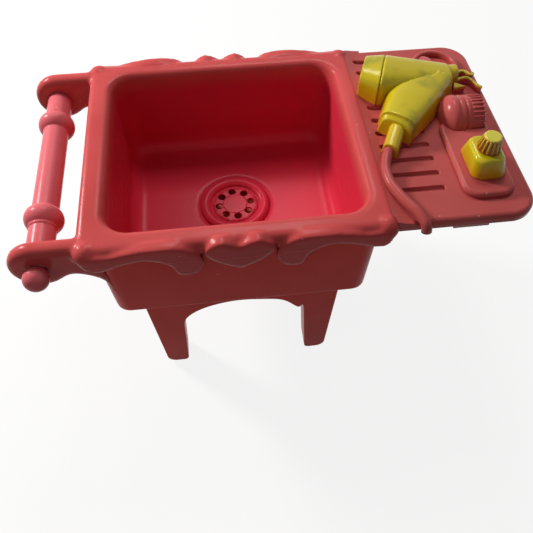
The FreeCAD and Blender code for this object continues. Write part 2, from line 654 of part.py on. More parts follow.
def lying_round(x0, profile, smooth=False):
    """Half-round relief lying on the tray along x: profile is (distance, radius) pairs, joined straight or smooth."""
    start = V(x0, 0, 0)
    pts = [V(x0 + d, 0, r) for d, r in profile]
    end = V(pts[-1].x, 0, 0)
    if smooth:
        curve = Part.BSplineCurve()
        curve.interpolate(pts)
        side = [curve.toShape()]
    else:
        side = [Part.LineSegment(a, b).toShape() for a, b in zip(pts, pts[1:])]
    edges = [Part.LineSegment(start, pts[0]).toShape()] + side
    edges += [Part.LineSegment(pts[-1], end).toShape(), Part.LineSegment(end, start).toShape()]
    solid = Part.Face(Part.Wire(edges)).revolve(V(0, 0, 0), V(1, 0, 0), 360)
    solid = solid.cut(Part.makeBox(80, 60, 30, V(x0 - 20, -30, -30)))
    solid.translate(V(0, JAR_Y, TRAY_TOP))
    return solid


def make_jar_body():
    """Round-bellied jar lying on the tray."""
    profile = []
    for i in range(JAR_STEPS + 1):
        t = i / JAR_STEPS
        bulge = math.sqrt(1.0 - (JAR_BELLY_START - JAR_BELLY_SPAN * t) ** 2)
        profile.append((JAR_BODY_LENGTH * t, JAR_BODY_R * bulge))
    return lying_round(JAR_START_X, profile, smooth=True)


def make_jar_collar():
    """Stepped collar between jar and cap."""
    x0 = JAR_START_X + JAR_BODY_LENGTH
    n = JAR_COLLAR_LENGTH
    r = JAR_COLLAR_R
    return lying_round(x0, [(0, r - 0.6), (0.4, r), (n * 0.45, r), (n * 0.5, r - 0.7), (n * 0.6, r - 0.7),
                            (n * 0.65, r - 0.1), (n - 0.3, r - 0.1), (n, r - 0.6)])


def make_jar_cap():
    """Cap of the lying jar."""
    x0 = JAR_START_X + JAR_BODY_LENGTH + JAR_COLLAR_LENGTH
    r = JAR_CAP_R
    n = JAR_CAP_LENGTH
    return lying_round(x0, [(0, r - 0.3), (0.3, r), (n - 0.8, r - 0.3), (n, r - 1.1)])


def make_dish():
    """Raised ring of the soap dish, cut back where the dryer stands."""
    ring = Part.makeCylinder(DISH_R, DISH_RISE, V(DISH_X, DISH_Y, TRAY_TOP))
    ring = ring.cut(Part.makeCylinder(DISH_R - DISH_WALL, DISH_RISE, V(DISH_X, DISH_Y, TRAY_TOP)))
    return fillet_z(ring, TRAY_TOP + DISH_RISE, DISH_WALL * 0.4)


def make_soap():
    """Small round soap in the dish."""
    soap = Part.makeCylinder(SOAP_R, SOAP_RISE, V(SOAP_X, SOAP_Y, TRAY_TOP))
    return fillet_z(soap, TRAY_TOP + SOAP_RISE, SOAP_RISE * 0.55)


def dome_wire(a, b, rise, lean=V(0, 0, 0)):
    """Flat base from a to b on the tray with a broad arched top; lean moves the top sideways."""
    mid = (a + b) * 0.5
    top = mid + V(0, 0, rise) + lean
    left = [mid + (a - mid) * w + (V(0, 0, rise) + lean) * h for w, h in ARCH_SHAPE]
    right = [mid + (b - mid) * w + (V(0, 0, rise) + lean) * h for w, h in ARCH_SHAPE]
    curve = Part.BSplineCurve()
    curve.interpolate([a] + left + [top] + right[::-1] + [b])
    return Part.Wire([curve.toShape(), Part.LineSegment(b, a).toShape()])


def dome_loft(sections):
    """Solid through several arched sections."""
    return Part.makeLoft([dome_wire(*s) for s in sections], True, True)


def section_x(x, spec):
    """Arched section across y at x."""
    y0, y1, rise = spec
    return V(x, y0, TRAY_TOP), V(x, y1, TRAY_TOP), rise


def section_between(right, left, rise, lean):
    """Arched section between two feet on the tray."""
    along = V(HANDLE_AXIS[0], HANDLE_AXIS[1], 0) * lean
    return V(right[0], right[1], TRAY_TOP), V(left[0], left[1], TRAY_TOP), rise, along


def make_nozzle():
    """Air outlet of the dryer."""
    return dome_loft([section_between(*NOZZLE_START), section_between(*NOZZLE_END)])


def make_barrel():
    """Body of the dryer, narrowing to the back."""
    neck = dome_loft([section_between(*NECK_START), section_between(*NECK_END)])
    body = dome_loft([section_between(*BARREL_START), section_x(BARREL_END_X, BARREL_END)])
    return body.fuse(neck).removeSplitter()


def make_plug():
    """Rear plug of the dryer."""
    return dome_loft([section_x(BARREL_END_X, PLUG_START), section_x(PLUG_END_X, PLUG_END)])


def make_handle(barrel, nozzle):
    """Handle with a stepped end, fitted against the barrel."""
    grip = dome_loft([section_between(*spec) for spec in HANDLE_SECTIONS])
    end = dome_loft([section_between(*spec) for spec in GRIP_END_SECTIONS])
    return grip.fuse(end).cut(barrel).cut(nozzle)


def make_spout():
    """Strain relief at the end of the handle."""
    return dome_loft([section_between(*spec) for spec in SPOUT_SECTIONS])


def make_cord():
    """Round cord: straight runs joined by tangent arcs."""
    pts = [V(*p) for p in CORD_ROUTE]
    runs = [(b - a).Length for a, b in zip(pts, pts[1:])]
    edges = []
    here = pts[0]
    length = 0.0
    for i in range(1, len(pts) - 1):
        u = (pts[i] - pts[i - 1]).normalize()
        w = (pts[i + 1] - pts[i]).normalize()
        turn = u.getAngle(w)
        cut = 0.45 * min(runs[i - 1], runs[i])
        radius = cut / math.tan(turn / 2.0)
        a = pts[i] - u * cut
        b = pts[i] + w * cut
        bisector = (w - u).normalize()
        centre = pts[i] + bisector * (radius / math.cos(turn / 2.0))
        m = centre - bisector * radius
        edges.append(Part.LineSegment(here, a).toShape())
        edges.append(Part.Arc(a, m, b).toShape())
        length += (a - here).Length + radius * turn
        print("cord turn %.0f deg radius %.1f run %.1f" % (math.degrees(turn), radius, runs[i]))
        here = b
    edges.append(Part.LineSegment(here, pts[-1]).toShape())
    length += (pts[-1] - here).Length
    path = Part.Wire(edges)
    start = (pts[1] - pts[0]).normalize()
    ring = Part.Wire([Part.Circle(pts[0], start, CORD_R).toShape()])
    tube = path.makePipeShell([ring], True, False)
    print("cord length %.1f volume %.1f expected %.1f" % (length, tube.Volume, math.pi * CORD_R ** 2 * length))
    return tube


def make_ribbon(points):
    """Standing ribbon of even width that waves over the tray."""
    low = [V(x, y, TRAY_TOP) for x, y in points]
    high = []
    for i, p in enumerate(low):
        along = low[min(i + 1, len(low) - 1)] - low[max(i - 1, 0)]
        high.append(p + V(-along.y, along.x, 0).normalize() * RIBBON_WIDTH)
    first = Part.BSplineCurve()
    first.interpolate(low)
    second = Part.BSplineCurve()
    second.interpolate(high)
    edges = [first.toShape(), Part.LineSegment(low[-1], high[-1]).toShape(), second.toShape(),
             Part.LineSegment(high[0], low[0]).toShape()]
    face = Part.Face(Part.Wire(Part.__sortEdges__(edges)))
    return face.extrude(V(0, 0, RIBBON_RISE))


def make_loop():
    """Folded loop of the ribbon."""
    pts = [V(x, y, TRAY_TOP) for x, y in LOOP_CORNERS]
    wire = Part.makePolygon(pts + [pts[0]])
    return Part.Face(wire).extrude(V(0, 0, LOOP_RISE))


def main():
    """Build every node."""
    os.makedirs("parts", exist_ok=True)
    save("basin", make_basin())
    save("drain_strainer", make_strainer())
    save("apron", make_apron())
    arm = make_arm()
    save("front_arm", arm)
    save("rear_arm", mirror_y(arm))
    save("towel_bar", make_bar())
    knob = make_knob()
    save("front_knob", knob)
    save("rear_knob", mirror_y(knob))
    legs = make_leg_frame()
    save("front_leg_frame", legs)
    save("rear_leg_frame", mirror_y(legs))
    save("front_heart", make_heart())
    save("rear_heart", mirror_y(make_heart(REAR_HEART_DROP)))
    for side, hand in (("left", 1), ("right", -1)):
        boss = make_boss(hand > 0)
        save("front_" + side + "_boss", boss)
        save("rear_" + side + "_boss", mirror_y(boss))
        scroll = make_scroll(hand)
        save("front_" + side + "_scroll", scroll)
        save("rear_" + side + "_scroll", mirror_y(scroll))
    tray = make_tray()
    save("side_tray", tray)
    jar = (make_jar_body(), make_jar_collar(), make_jar_cap())
    pad = make_pad()
    for piece in jar:
        pad = pad.cut(piece)
    save("bottle_pad", pad)
    save("bottle_body", make_bottle())
    save("bottle_cap", make_bottle_cap())
    slope = tray_slope()
    nozzle = make_nozzle().cut(rim_block()).cut(slope)
    barrel = make_barrel().cut(nozzle).cut(slope)
    plug = make_plug()
    handle = largest(make_handle(barrel, nozzle).cut(slope))
    save("jar_body", jar[0].cut(handle))
    save("jar_collar", jar[1])
    save("jar_cap", jar[2])
    dish = make_dish()
    save("soap_dish", dish.cut(barrel).cut(plug))
    save("soap", make_soap().cut(barrel).cut(dish))
    save("dryer_nozzle", nozzle)
    save("dryer_barrel", barrel)
    save("dryer_plug", plug)
    save("dryer_handle", handle)
    spout = make_spout().cut(handle).cut(slope)
    save("dryer_strain_relief", spout)
    save("dryer_cord", make_cord().cut(spout).cut(tray))
    save("ribbon_back", make_ribbon(RIBBON_BACK).cut(plug).cut(dish))
    save("ribbon_front", make_ribbon(RIBBON_FRONT).cut(plug))
    save("ribbon_loop", make_loop())


main()
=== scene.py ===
"""Dresses the toy grooming tub: moulded plastic, soft relief, painted dryer and bottle, ribs and seams."""

import logging
import math
from dataclasses import dataclass, field
from enum import Enum
from typing import Sequence

import bmesh
import bpy
from mathutils import Matrix, Vector


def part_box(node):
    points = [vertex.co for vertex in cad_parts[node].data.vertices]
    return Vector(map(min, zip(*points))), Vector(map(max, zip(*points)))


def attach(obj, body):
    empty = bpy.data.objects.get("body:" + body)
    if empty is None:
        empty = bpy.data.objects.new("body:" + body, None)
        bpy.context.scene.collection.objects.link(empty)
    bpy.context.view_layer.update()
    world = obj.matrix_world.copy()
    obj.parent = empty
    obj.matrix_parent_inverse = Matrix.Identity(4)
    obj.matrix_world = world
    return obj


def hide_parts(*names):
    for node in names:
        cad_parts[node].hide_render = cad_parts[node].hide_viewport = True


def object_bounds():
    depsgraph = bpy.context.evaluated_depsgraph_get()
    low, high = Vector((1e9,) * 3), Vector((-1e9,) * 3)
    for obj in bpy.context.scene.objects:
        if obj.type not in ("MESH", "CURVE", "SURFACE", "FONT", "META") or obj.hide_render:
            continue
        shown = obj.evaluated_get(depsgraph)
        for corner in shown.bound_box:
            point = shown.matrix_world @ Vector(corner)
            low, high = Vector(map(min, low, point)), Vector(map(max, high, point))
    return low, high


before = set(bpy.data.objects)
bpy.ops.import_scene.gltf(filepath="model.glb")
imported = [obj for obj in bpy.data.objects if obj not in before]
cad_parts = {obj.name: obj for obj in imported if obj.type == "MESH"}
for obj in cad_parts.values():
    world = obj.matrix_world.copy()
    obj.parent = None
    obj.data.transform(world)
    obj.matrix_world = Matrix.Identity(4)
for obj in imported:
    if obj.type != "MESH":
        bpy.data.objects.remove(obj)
CAD_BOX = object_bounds()
LOG = logging.getLogger("grooming_tub")
MM = 0.001
WELD_REACH = 0.004 * MM
RELIEF_DEPTH = 0.06 * MM
PLASTIC_IOR = 1.5
ROD_END_POWER = 8.0
ROD_END_ROOM = 1.001
Colour = tuple[float, float, float]
Point = tuple[float, float, float]
Span = tuple[float, float]


class Body(Enum):
    """The two parts that move against each other."""

    TUB = "tub"
    BAR = "bar"


class Slot(Enum):
    """Material slots of the record."""

    PINK = "pink_plastic"
    BAR = "bar_plastic"
    YELLOW = "yellow_paint"
    RIBBON = "ribbon_paint"
    SOAP = "soap_plastic"


class Sheet:
    """Lays nodes on one tree and joins them as they are added."""

    def __init__(self, tree: bpy.types.NodeTree) -> None:
        """Keep the tree that the nodes go on."""
        self.tree = tree

    def add(self, kind: str, inputs: dict | None = None, **settings: object) -> bpy.types.Node:
        """Add one node.

        Args:
            kind: Blender's name for the node type.
            inputs: value, or output socket to join, for each input by name or number.
            settings: the node's own options.

        Returns:
            The new node.
        """
        made = self.tree.nodes.new(kind)
        for key, value in settings.items():
            setattr(made, key, value)
        for key, value in (inputs or {}).items():
            socket = made.inputs[key]
            if isinstance(value, bpy.types.NodeSocket):
                self.tree.links.new(value, socket)
            else:
                socket.default_value = value
        return made

    def maths(self, operation: str, a: object, b: object = 0.0, clamp: bool = False) -> bpy.types.NodeSocket:
        """Add one sum.

        Args:
            operation: the sum's name, such as MULTIPLY.
            a: first value or socket.
            b: second value or socket.
            clamp: hold the result between 0 and 1.

        Returns:
            The result's socket.
        """
        return self.add("ShaderNodeMath", {0: a, 1: b}, operation=operation, use_clamp=clamp).outputs[0]

    def blend(self, share: object, a: object, b: object) -> bpy.types.NodeSocket:
        """Mix two colours.

        Args:
            share: how much of the second colour, a value or socket.
            a: first colour or socket.
            b: second colour or socket.

        Returns:
            The mixed colour's socket.
        """
        made = self.add("ShaderNodeMix", data_type="RGBA")
        for socket, value in ((made.inputs[0], share), (made.inputs[6], a), (made.inputs[7], b)):
            if isinstance(value, bpy.types.NodeSocket):
                self.tree.links.new(value, socket)
            elif isinstance(value, tuple):
                socket.default_value = (*value, 1.0)
            else:
                socket.default_value = value
        return made.outputs[2]

    def ramp(self, value: object, low: float, high: float) -> bpy.types.NodeSocket:
        """Smooth step of a value from 0 at low to 1 at high.

        Args:
            value: the socket that is read.
            low: where the step starts.
            high: where it ends.

        Returns:
            The step's socket.
        """
        made = self.add("ShaderNodeMapRange", {0: value, 1: low, 2: high, 3: 0.0, 4: 1.0},
                        interpolation_type="SMOOTHSTEP")
        return made.outputs[0]

    def noise(self, place: bpy.types.NodeSocket, scale: float, detail: float = 2.0) -> bpy.types.NodeSocket:
        """Soft noise.

        Args:
            place: coordinates, in metres.
            scale: features to a metre.
            detail: octaves.

        Returns:
            The noise's socket.
        """
        made = self.add("ShaderNodeTexNoise", {"Vector": place, "Scale": scale, "Detail": detail})
        return made.outputs[0]

    def times(self, a: object, b: object) -> bpy.types.NodeSocket:
        """Product of two values or sockets."""
        return self.maths("MULTIPLY", a, b)

    def rest(self, share: object) -> bpy.types.NodeSocket:
        """What a share leaves of 1."""
        return self.maths("SUBTRACT", 1.0, share)

    def spots(self, place: bpy.types.NodeSocket, scale: float, edge: Span, patch_scale: float,
              patch: Span) -> bpy.types.NodeSocket:
        """Small round spots, gathered in patches.

        Args:
            place: coordinates, in metres.
            scale: cells to a metre, with one spot at most in each.
            edge: where a spot starts and ends to fade, as a share of its cell.
            patch_scale: patches to a metre.
            patch: noise between which a patch fades in.

        Returns:
            A socket that is 1 inside a spot.
        """
        cells = self.add("ShaderNodeTexVoronoi", {"Vector": place, "Scale": scale, "Randomness": 1.0})
        dot = self.rest(self.ramp(cells.outputs["Distance"], *edge))
        return self.times(dot, self.ramp(self.noise(place, patch_scale, 1.0), *patch))


@dataclass(frozen=True)
class MouldedPlastic:
    """Glossy injection-moulded plastic with faint flow marks, fine scratches and a few scuffs."""

    name: str
    colour: Colour
    deep: Colour
    roughness: float = 0.24
    scuffs: float = 1.0
    shine: float = 0.07
    mirrored: Colour = (1.0, 0.9, 0.9)
    relief: float = 0.3
    flow_scale: float = 45.0
    flow: Span = (0.3, 0.75)
    scratch_turn: Point = (0.3, 0.2, 0.9)
    scratch_stretch: Point = (1.0, 0.03, 1.0)
    scratch_scale: float = 2600.0
    scratch: Span = (0.70, 0.76)
    scratch_rough: float = 0.05
    scratch_depth: float = 0.1
    speck_scale: float = 210.0
    speck_edge: Span = (0.035, 0.075)
    patch_scale: float = 75.0
    patch: Span = (0.58, 0.62)
    speck_colour: Colour = (0.85, 0.62, 0.58)
    speck_share: float = 0.55
    haze_scale: float = 380.0
    haze_depth: float = 0.1
    peel_scale: float = 260.0
    peel_depth: float = 0.6

    def surface(self, sheet: Sheet, place: bpy.types.NodeSocket) -> dict[str, bpy.types.NodeSocket]:
        """Lay the colour, roughness and relief.

        Args:
            sheet: where the nodes go.
            place: object coordinates.

        Returns:
            Sockets for colour, roughness and height.
        """
        flow = sheet.noise(place, self.flow_scale, 3.0)
        colour = sheet.blend(sheet.ramp(flow, *self.flow), self.colour, self.deep)
        drawn = sheet.add("ShaderNodeMapping", {"Vector": place, "Rotation": self.scratch_turn,
                                                "Scale": self.scratch_stretch}).outputs[0]
        scratch = sheet.ramp(sheet.noise(drawn, self.scratch_scale, 1.0), *self.scratch)
        speck = sheet.spots(place, self.speck_scale, self.speck_edge, self.patch_scale, self.patch)
        speck = sheet.times(sheet.times(speck, self.scuffs), self.speck_share)
        haze = sheet.times(sheet.noise(place, self.haze_scale, 3.0), self.haze_depth)
        rough = sheet.maths("ADD", self.roughness - self.haze_depth / 2.0, haze)
        peel = sheet.times(sheet.noise(place, self.peel_scale, 2.0), self.peel_depth)
        return {
            "colour": sheet.blend(speck, colour, self.speck_colour),
            "rough": sheet.maths("ADD", rough, sheet.times(scratch, self.scratch_rough)),
            "height": sheet.maths("SUBTRACT", peel, sheet.times(scratch, self.scratch_depth)),
        }

    def make(self) -> bpy.types.Material:
        """Build the material.

        Returns:
            The finished material.
        """
        material, sheet, shader, place = blank_material(self.name)
        laid = self.surface(sheet, place)
        join_surface(sheet, shader, laid, self.shine, self.mirrored, self.relief)
        return material


@dataclass(frozen=True)
class BowlPlasticWithPaintedShade(MouldedPlastic):
    """The same plastic with painted shade: a deeper red painted inside the bowl, standing in for its shade and the
    light bounced between its walls.
    """

    # painted shade: the deeper red laid inside the bowl
    painted_shade_well: Colour = (0.60, 0.026, 0.056)
    middle_x: float = -13.4
    half_x: float = 49.0
    half_y: float = 43.5
    top_z: float = 95.8
    top_fade: float = 9.0
    side_fade: float = 1.0

    def surface(self, sheet: Sheet, place: bpy.types.NodeSocket) -> dict[str, bpy.types.NodeSocket]:
        """Lay the plastic, then paint shade inside the bowl as a deeper red.

        Args:
            sheet: where the nodes go.
            place: object coordinates.

        Returns:
            Sockets for colour, roughness and height.
        """
        laid = super().surface(sheet, place)
        x, y, z = sheet.add("ShaderNodeSeparateXYZ", {0: place}).outputs
        # mask of the painted shade: 1 inside the bowl below the rim, fading out towards the rim top and the walls
        share = sheet.rest(sheet.ramp(z, (self.top_z - self.top_fade) * MM, self.top_z * MM))
        for across, half in ((sheet.maths("SUBTRACT", x, self.middle_x * MM), self.half_x), (y, self.half_y)):
            away = sheet.ramp(sheet.maths("ABSOLUTE", across), (half - self.side_fade) * MM, half * MM)
            share = sheet.times(share, sheet.rest(away))
        laid["colour"] = sheet.blend(share, laid["colour"], self.painted_shade_well)
        return laid


@dataclass(frozen=True)
class BrushedPaint:
    """Thick hand-brushed paint over moulded plastic: orange low down, where it is thin and where red bounce light
    is painted in, green-yellow higher up.
    """

    name: str
    under: MouldedPlastic
    edge_z: float
    rise: float
    # orange of the low paint: partly thin paint, partly painted red bounce light from the tray
    low: Colour = (0.60, 0.30, 0.004)
    high: Colour = (0.58, 0.47, 0.006)
    pooled: Colour = (0.27, 0.27, 0.010)
    ragged: float = 0.8
    roughness: float = 0.19
    bare: float = 0.0
    shine: float = 0.3
    mirrored: Colour = (1.0, 0.95, 0.7)
    relief: float = 1.0
    wander_scale: float = 620.0
    edge: float = 0.12
    chip_scale: float = 900.0
    chip: Span = (0.77, 0.79)
    drift_scale: float = 90.0
    drift: float = 3.0
    pool_scale: float = 95.0
    pool: Span = (0.50, 0.72)
    pool_share: float = 0.7
    blob_scale: float = 240.0
    blob_edge: Span = (0.05, 0.14)
    blob_patch_scale: float = 130.0
    blob_patch: Span = (0.56, 0.60)
    blob_depth: float = 1.3
    streak_scale: float = 420.0
    streak_depth: float = 0.9
    streak_rough: float = 0.08

    def make(self) -> bpy.types.Material:
        """Build the material.

        Returns:
            The finished material.
        """
        material, sheet, shader, place = blank_material(self.name)
        below = self.under.surface(sheet, place)
        height = sheet.add("ShaderNodeSeparateXYZ", {0: place}).outputs[2]
        wander = sheet.maths("SUBTRACT", sheet.noise(place, self.wander_scale, 3.0), 0.5)
        line = sheet.maths("ADD", height, sheet.times(wander, self.ragged * MM * 2.0))
        chips = sheet.ramp(sheet.noise(place, self.chip_scale, 4.0), *(v - self.bare for v in self.chip))
        cover = sheet.times(sheet.ramp(line, self.edge_z, self.edge_z + self.edge * MM), sheet.rest(chips))
        drift = sheet.maths("SUBTRACT", sheet.noise(place, self.drift_scale, 2.0), 0.5)
        level = sheet.maths("ADD", height, sheet.times(drift, self.drift * MM))
        # orange to green-yellow with height: thin paint low down, plus painted bounce light there
        coat = sheet.blend(sheet.ramp(level, self.edge_z, self.edge_z + self.rise), self.low, self.high)
        pool = sheet.ramp(sheet.noise(place, self.pool_scale, 3.0), *self.pool)
        coat = sheet.blend(sheet.times(pool, self.pool_share), coat, self.pooled)
        blob = sheet.spots(place, self.blob_scale, self.blob_edge, self.blob_patch_scale, self.blob_patch)
        streak = sheet.noise(place, self.streak_scale, 2.0)
        body = sheet.maths("ADD", sheet.times(streak, self.streak_depth), sheet.times(blob, self.blob_depth))
        streaked = sheet.times(streak, self.streak_rough)
        laid = {
            "colour": sheet.blend(cover, below["colour"], coat),
            "rough": sheet.maths("ADD", self.roughness - self.streak_rough / 2.0, streaked),
            "height": sheet.maths("ADD", below["height"], sheet.times(cover, body)),
        }
        join_surface(sheet, shader, laid, self.shine, self.mirrored, self.relief)
        return material


def blank_material(name: str) -> tuple[bpy.types.Material, Sheet, bpy.types.Node, bpy.types.NodeSocket]:
    """Start a material that reads object coordinates.

    Args:
        name: the material's name.

    Returns:
        The material, its sheet, its shader node and the coordinates.
    """
    material = bpy.data.materials.new(name)
    material.use_nodes = True
    tree = material.node_tree
    tree.nodes.clear()
    sheet = Sheet(tree)
    shader = sheet.add("ShaderNodeBsdfPrincipled")
    sheet.add("ShaderNodeOutputMaterial", {"Surface": shader.outputs[0]})
    place = sheet.add("ShaderNodeTexCoord").outputs["Object"]
    return material, sheet, shader, place


def join_surface(sheet: Sheet, shader: bpy.types.Node, laid: dict[str, bpy.types.NodeSocket],
                 shine: float, tint: Colour, relief: float) -> None:
    """Join colour, roughness and relief to the shader.

    Args:
        sheet: where the nodes lie.
        shader: the shader they feed.
        laid: sockets for colour, roughness and height.
        shine: how much light the surface mirrors.
        tint: colour of what it mirrors.
        relief: how strongly the fine relief shows.
    """
    bump = sheet.add("ShaderNodeBump", {"Height": laid["height"], "Strength": relief,
                                        "Distance": RELIEF_DEPTH})
    sheet.tree.links.new(laid["colour"], shader.inputs["Base Color"])
    sheet.tree.links.new(laid["rough"], shader.inputs["Roughness"])
    sheet.tree.links.new(bump.outputs[0], shader.inputs["Normal"])
    shader.inputs["IOR"].default_value = PLASTIC_IOR
    shader.inputs["Specular IOR Level"].default_value = shine
    shader.inputs["Specular Tint"].default_value = (*tint, 1.0)


@dataclass(frozen=True)
class Finishes:
    """Every finish on the tub."""

    bowl: bpy.types.Material
    stand: bpy.types.Material
    tray: bpy.types.Material
    bar: bpy.types.Material
    seam: bpy.types.Material
    yellow: bpy.types.Material
    bottle: bpy.types.Material
    cap_core: bpy.types.Material
    cap_rib: bpy.types.Material
    ribbon: bpy.types.Material
    soap: bpy.types.Material


def make_finishes() -> Finishes:
    """Build the finishes.

    Returns:
        All of them.
    """
    pink = MouldedPlastic("pink_moulded", (0.60, 0.086, 0.086), (0.55, 0.072, 0.072))
    # bare plastic where the cap's paint is worn, painted dark brown as shade in the rib grooves
    worn_and_groove_shade = MouldedPlastic("cap_groove_painted_shade_plastic", (0.40, 0.10, 0.03), (0.30, 0.05, 0.02), scuffs=0.0)
    tray_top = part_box("bottle_pad")[0].z
    pad_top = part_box("bottle_body")[0].z
    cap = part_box("bottle_cap")
    return Finishes(
        # the bowl's finish paints shade inside the bowl as a deeper red
        bowl=BowlPlasticWithPaintedShade("pink_bowl_painted_shade", pink.colour, pink.deep).make(),
        # painted shade: apron and legs are the rim's pink plastic, given a deeper red so they look as in shade
        stand=MouldedPlastic("pink_stand_painted_shade", (0.78, 0.078, 0.066), (0.72, 0.066, 0.056), roughness=0.3,
                             shine=0.05).make(),
        # painted shade: tray, pad, jar, dish and cord are the rim's pink plastic, given a darker tone so they look
        # less lit
        tray=MouldedPlastic("pink_tray_painted_shade", (0.50, 0.090, 0.086), (0.46, 0.076, 0.072), shine=0.12).make(),
        # painted light: the towel bar and balls are the rim's pink plastic, given a paler tone so they look lit
        bar=MouldedPlastic("pink_bar_painted_light", (0.74, 0.155, 0.180), (0.68, 0.135, 0.158), scuffs=0.6).make(),
        # painted highlight: the mould edges are a paler pink so they look like edges catching light
        seam=MouldedPlastic("thin_edge_painted_highlight", (0.74, 0.22, 0.22), (0.66, 0.17, 0.17), roughness=0.4,
                            scuffs=0.0).make(),
        yellow=BrushedPaint("yellow_dryer_paint", pink, tray_top + 0.7 * MM, 8.5 * MM).make(),
        bottle=BrushedPaint("yellow_bottle_paint", pink, pad_top + 0.25 * MM, 6.0 * MM, ragged=0.4).make(),
        cap_core=BrushedPaint("yellow_cap_top", worn_and_groove_shade, cap[1].z - 0.7 * MM, 0.4 * MM, ragged=0.3,
                              high=(0.66, 0.60, 0.06), pooled=(0.60, 0.52, 0.04)).make(),
        cap_rib=BrushedPaint("yellow_cap_rib", worn_and_groove_shade, cap[0].z + 0.4 * MM, 4.0 * MM, ragged=0.6, bare=0.08,
                             low=(0.50, 0.30, 0.01), high=(0.56, 0.46, 0.03)).make(),
        ribbon=BrushedPaint("ribbon_edge_paint", pink, tray_top + 1.7 * MM, 1.2 * MM, ragged=0.7, bare=0.04,
                            low=(0.60, 0.26, 0.03), high=(0.60, 0.42, 0.03)).make(),
        soap=MouldedPlastic("pale_soap", (0.66, 0.16, 0.17), (0.60, 0.13, 0.14), scuffs=0.3).make(),
    )


def settle(obj: bpy.types.Object, body: Body, slot: Slot, *stands_for: str) -> bpy.types.Object:
    """Fix a finished piece to its body and report it.

    Args:
        obj: the piece, in place.
        body: the body it rides on.
        slot: the record's slot of its finish; not used.
        stands_for: CAD nodes that it replaces.

    Returns:
        The same piece.
    """
    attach(obj, body.value)
    if stands_for:
        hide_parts(*stands_for)
    LOG.info("%s: %d faces on %s", obj.name, len(obj.data.polygons), body.value)
    return obj


def bake(obj: bpy.types.Object, name: str) -> bpy.types.Object:
    """Turn an object and its modifiers into a plain mesh object.

    Args:
        obj: the object, which is removed.
        name: name of the result.

    Returns:
        The new object.
    """
    seen = bpy.context.evaluated_depsgraph_get()
    mesh = bpy.data.meshes.new_from_object(obj.evaluated_get(seen))
    mesh.name = name
    old = obj.data
    bpy.data.objects.remove(obj)
    if old.users == 0 and isinstance(old, bpy.types.Mesh):
        bpy.data.meshes.remove(old)
    made = bpy.data.objects.new(name, mesh)
    bpy.context.scene.collection.objects.link(made)
    return made


def merged_copy(name: str, nodes: Sequence[str]) -> bpy.types.Object:
    """Copy CAD nodes into one mesh with shared corners.

    Args:
        name: name of the copy.
        nodes: the CAD nodes.

    Returns:
        The copy.
    """
    built = bmesh.new()
    for node in nodes:
        built.from_mesh(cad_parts[node].data)
    bmesh.ops.remove_doubles(built, verts=built.verts, dist=WELD_REACH)
    mesh = bpy.data.meshes.new(name)
    built.to_mesh(mesh)
    built.free()
    mesh.materials.clear()
    made = bpy.data.objects.new(name, mesh)
    bpy.context.scene.collection.objects.link(made)
    return made


def crisp(name: str, nodes: Sequence[str], material: bpy.types.Material,
          angle: float = 32.0) -> bpy.types.Object:
    """Copy nodes with smooth fillets and crisp edges.

    Args:
        name: name of the piece.
        nodes: the CAD nodes.
        material: the finish.
        angle: edges sharper than this, in degrees, stay crisp.

    Returns:
        The piece.
    """
    made = merged_copy(name, nodes)
    made.data.shade_smooth()
    made.data.set_sharp_from_angle(angle=math.radians(angle))
    made.modifiers.new("even", "WEIGHTED_NORMAL").keep_sharp = True
    made = bake(made, name)
    made.data.materials.append(material)
    return made


def softened(name: str, nodes: Sequence[str], material: bpy.types.Material, voxel: float,
             rounds: int) -> bpy.types.Object:
    """Fuse nodes into one moulding with rounded edges and filled corners.

    Args:
        name: name of the piece.
        nodes: the CAD nodes.
        material: the finish.
        voxel: grain of the new mesh, in millimetres.
        rounds: how many times it is smoothed.

    Returns:
        The piece.
    """
    made = merged_copy(name, nodes)
    remesh = made.modifiers.new("fuse", "REMESH")
    remesh.mode = "VOXEL"
    remesh.voxel_size = voxel * MM
    smooth = made.modifiers.new("soften", "SMOOTH")
    smooth.factor = 0.5
    smooth.iterations = rounds
    made = bake(made, name)
    made.data.shade_smooth()
    made.data.materials.append(material)
    return made


def smooth_line(points: Sequence[Span], steps: int = 10) -> list[Span]:
    """Even curve through a row of places.

    Args:
        points: the places.
        steps: points added for each of them.

    Returns:
        The curve's points.
    """
    rows = [points[0], *points, points[-1]]
    line = []
    for a, b, c, d in zip(rows, rows[1:], rows[2:], rows[3:]):
        for i in range(steps):
            t = i / steps
            line.append(tuple(
                0.5 * (2.0 * q + (r - p) * t + (2.0 * p - 5.0 * q + 4.0 * r - s) * t * t
                       + (3.0 * q - p - 3.0 * r + s) * t ** 3)
                for p, q, r, s in zip(a, b, c, d)))
    return line + [points[-1]]


